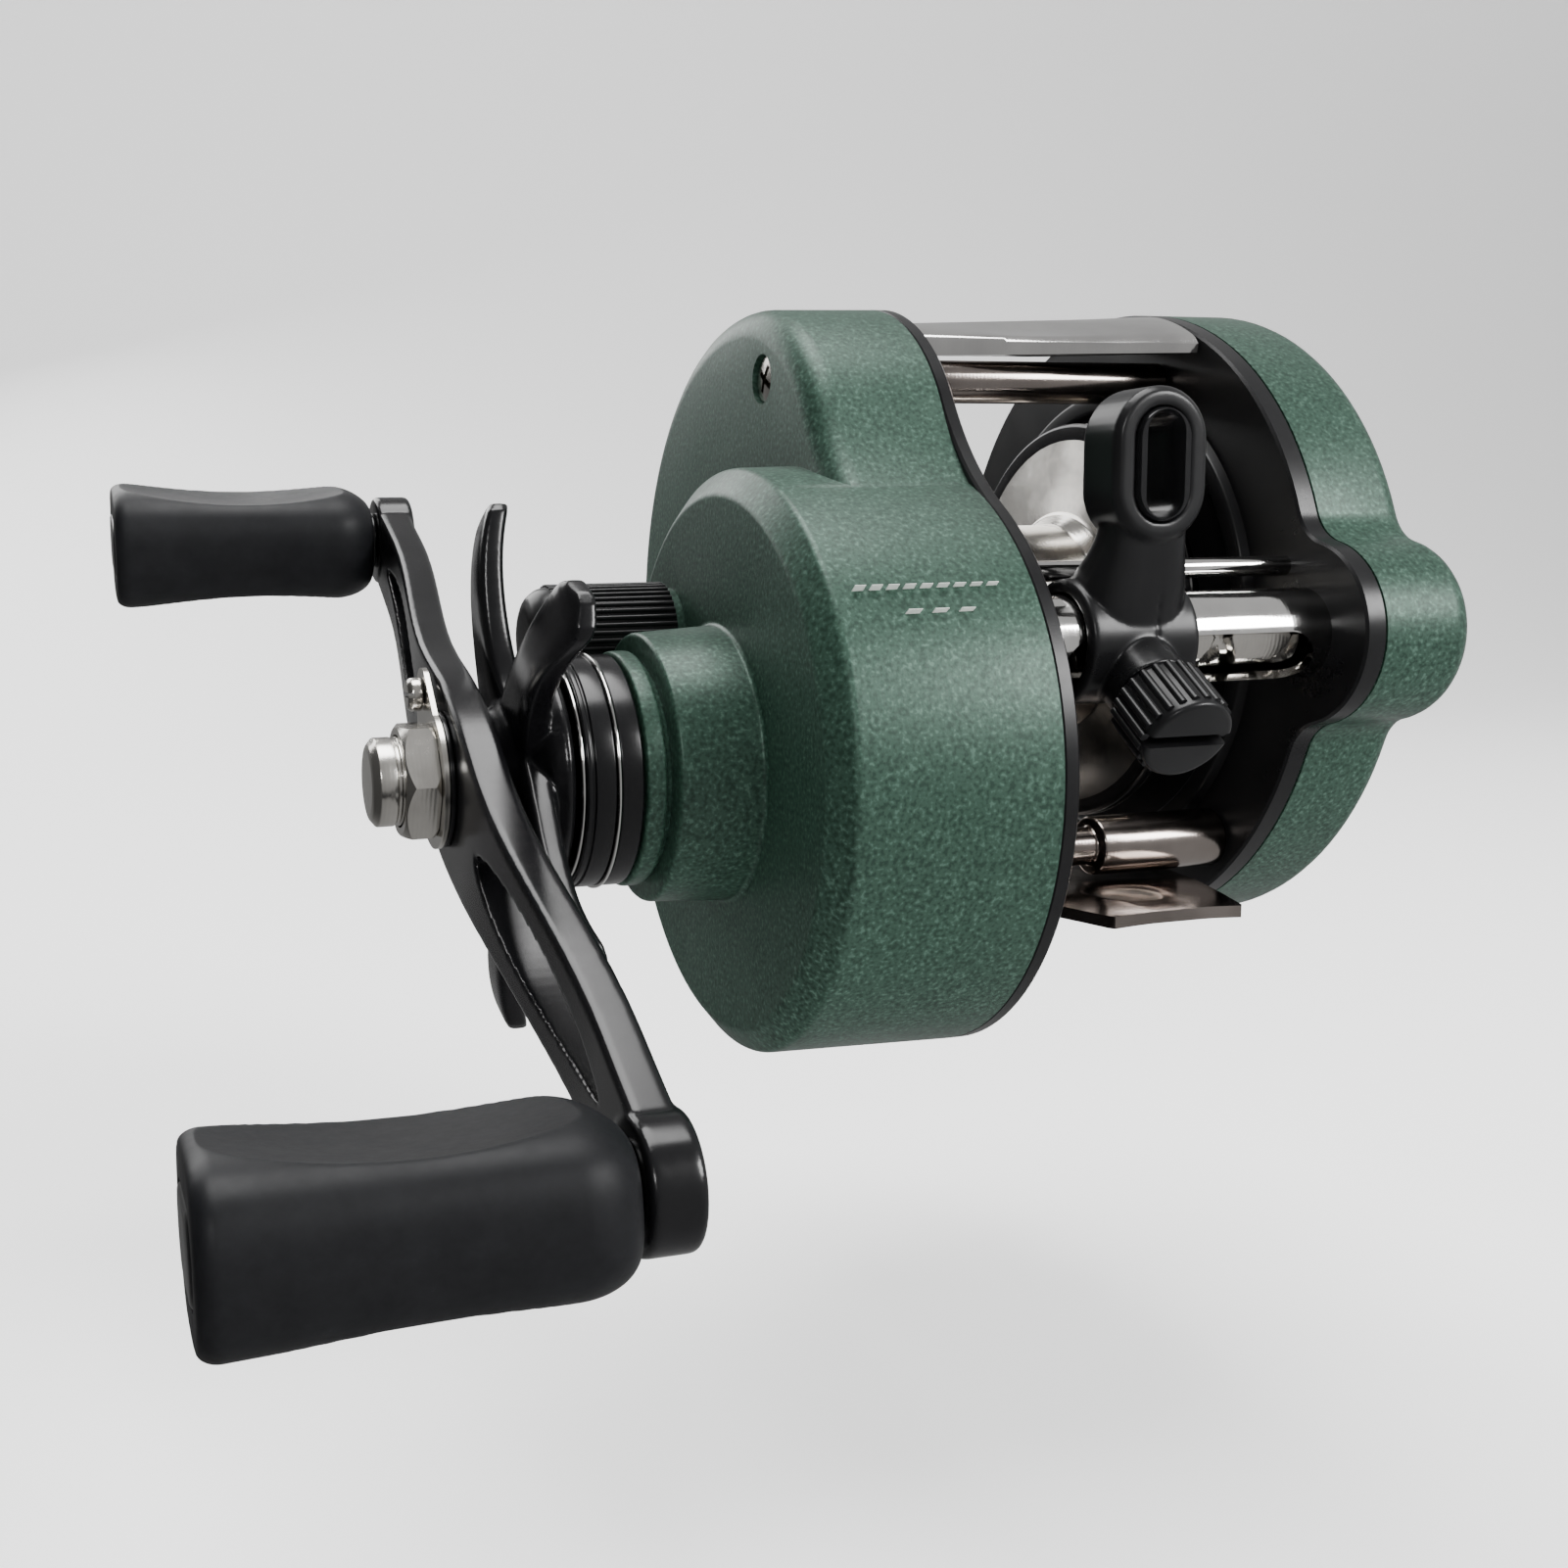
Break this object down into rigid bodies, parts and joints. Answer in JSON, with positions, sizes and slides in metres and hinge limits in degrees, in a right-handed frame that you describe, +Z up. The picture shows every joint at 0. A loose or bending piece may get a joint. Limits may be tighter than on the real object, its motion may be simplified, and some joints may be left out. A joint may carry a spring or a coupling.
{
  "type": "baitcasting reel",
  "caption": "Round right-hand baitcasting reel with double-knob handle, star drag, level-wind line guide and rod foot.",
  "frame": {"origin": "centre of the flat rod seat strip under the foot", "axes": "+X along the spool axis from the handle side to the palm side, -Y toward the line guide, +Z up from the rod"},
  "size_m": [0.1021, 0.0971, 0.0622],
  "materials": {
    "cover_paint": "satin green paint with fine metallic fleck",
    "frame_black": "black, half gloss",
    "knob_rubber": "matt black soft grip",
    "black_anodised": "gloss black",
    "bright_chrome": "mirror plated",
    "bare_steel": "turned and polished",
    "gunmetal": "dark nickel plate",
    "gear_brass": "cut brass",
    "drag_fibre": "woven fibre disc",
    "white_nylon": "moulded nylon"
  },
  "bodies": {
    "frame": {"handle_side_plate": "frame_black", "palm_side_plate": "frame_black", "gear_cover": "cover_paint", "palm_cover": "cover_paint", "cover_screw_top": "bare_steel", "cover_screw_rear": "bare_steel", "cover_screw_low": "bare_steel", "palm_screw_front": "bare_steel", "palm_screw_rear": "bare_steel", "pillar_top": "gunmetal", "pillar_front_low": "gunmetal", "pillar_rear_low": "gunmetal", "thumb_rest": "bright_chrome", "reel_foot": "gunmetal", "foot_rivet_front": "bare_steel", "foot_rivet_rear": "bare_steel", "worm_tube": "bright_chrome", "guide_rod": "bright_chrome", "spool_bearing_handle": "bare_steel", "spool_bearing_palm": "bare_steel", "drive_bearing": "bare_steel", "one_way_bearing": "bare_steel", "brake_drum": "black_anodised"},
    "drive": {"handle_arm": "black_anodised", "arm_washer": "black_anodised", "nut_retainer": "bare_steel", "retainer_screw": "bare_steel", "handle_nut": "bare_steel", "drive_shaft": "bare_steel", "drive_gear": "gear_brass", "drag_washer": "drag_fibre", "key_washer": "bare_steel", "level_wind_drive_gear": "white_nylon", "drag_ring_inner": "black_anodised", "spring_washer_inner": "bright_chrome", "drag_ring_outer": "black_anodised", "spring_washer_outer": "bright_chrome", "knob_spindle_upper": "black_anodised", "knob_spindle_lower": "black_anodised"},
    "knob_upper": {"knob_upper": "knob_rubber", "knob_cap_upper": "frame_black"},
    "knob_lower": {"knob_lower": "knob_rubber", "knob_cap_lower": "frame_black"},
    "star": {"drag_star": "black_anodised"},
    "spool": {"spool": "bare_steel", "spool_shaft": "bare_steel", "brake_block_upper": "white_nylon", "brake_block_lower": "white_nylon"},
    "clutch": {"clutch_yoke": "bare_steel"},
    "pinion": {"pinion_gear": "gear_brass"},
    "thumb_bar": {"thumb_bar": "frame_black"},
    "tension_cap": {"tension_cap": "frame_black"},
    "idler": {"idler_gear": "white_nylon"},
    "worm": {"worm_shaft": "bare_steel", "worm_gear": "white_nylon"},
    "guide": {"line_guide": "frame_black", "guide_insert": "black_anodised"},
    "pawl": {"pawl": "gear_brass", "pawl_cap": "frame_black"}
  },
  "joints": [
    {"name": "handle_turn", "type": "hinge", "parent": "frame", "child": "drive", "pos_m": [0, -0.01064, 0.01191], "axis": [1, 0, 0], "continuous": true},
    {"name": "spool_spin", "type": "hinge", "parent": "frame", "child": "spool", "pos_m": [0, 0, 0.0219], "axis": [1, 0, 0], "continuous": true},
    {"name": "idler_spin", "type": "hinge", "parent": "frame", "child": "idler", "pos_m": [0, -0.0215, 0.016], "axis": [1, 0, 0], "continuous": true},
    {"name": "worm_spin", "type": "hinge", "parent": "frame", "child": "worm", "pos_m": [0, -0.0269, 0.0219], "axis": [1, 0, 0], "continuous": true},
    {"name": "pinion_spin", "type": "hinge", "parent": "clutch", "child": "pinion", "pos_m": [0, 0, 0.0219], "axis": [1, 0, 0], "continuous": true},
    {"name": "knob_upper_spin", "type": "hinge", "parent": "drive", "child": "knob_upper", "pos_m": [0, 0.02981, 0.03068], "axis": [1, 0, 0], "continuous": true},
    {"name": "knob_lower_spin", "type": "hinge", "parent": "drive", "child": "knob_lower", "pos_m": [0, -0.0511, -0.00687], "axis": [1, 0, 0], "continuous": true},
    {"name": "star_drag_turn", "type": "hinge", "parent": "drive", "child": "star", "pos_m": [0, -0.01064, 0.01191], "axis": [1, 0, 0], "range_deg": [-120, 120]},
    {"name": "tension_cap_turn", "type": "hinge", "parent": "frame", "child": "tension_cap", "pos_m": [0, 0, 0.0219], "axis": [1, 0, 0], "range_deg": [-180, 180]},
    {"name": "thumb_bar_press", "type": "slide", "parent": "frame", "child": "thumb_bar", "axis": [0, 0, -1], "range_m": [0, 0.003], "stiffness_N_per_m": 150, "springref_m": -0.002},
    {"name": "clutch_shift", "type": "slide", "parent": "frame", "child": "clutch", "axis": [-1, 0, 0], "range_m": [0, 0.00095]},
    {"name": "line_guide_travel", "type": "slide", "parent": "frame", "child": "guide", "axis": [1, 0, 0], "range_m": [-0.0024, 0.0122]},
    {"name": "pawl_swivel", "type": "hinge", "parent": "guide", "child": "pawl", "pos_m": [-0.0049, -0.0269, 0.0219], "axis": [0, -0.829, -0.5592], "range_deg": [-25, 25]}
  ],
  "couplings": [
    {"joint": "spool_spin", "follows": "handle_turn", "ratio": -6.3},
    {"joint": "pinion_spin", "follows": "handle_turn", "ratio": -6.3},
    {"joint": "idler_spin", "follows": "handle_turn", "ratio": -1.0714},
    {"joint": "worm_spin", "follows": "handle_turn", "ratio": 2.5},
    {"joint": "clutch_shift", "follows": "thumb_bar_press", "ratio": 0.3}
  ]
}
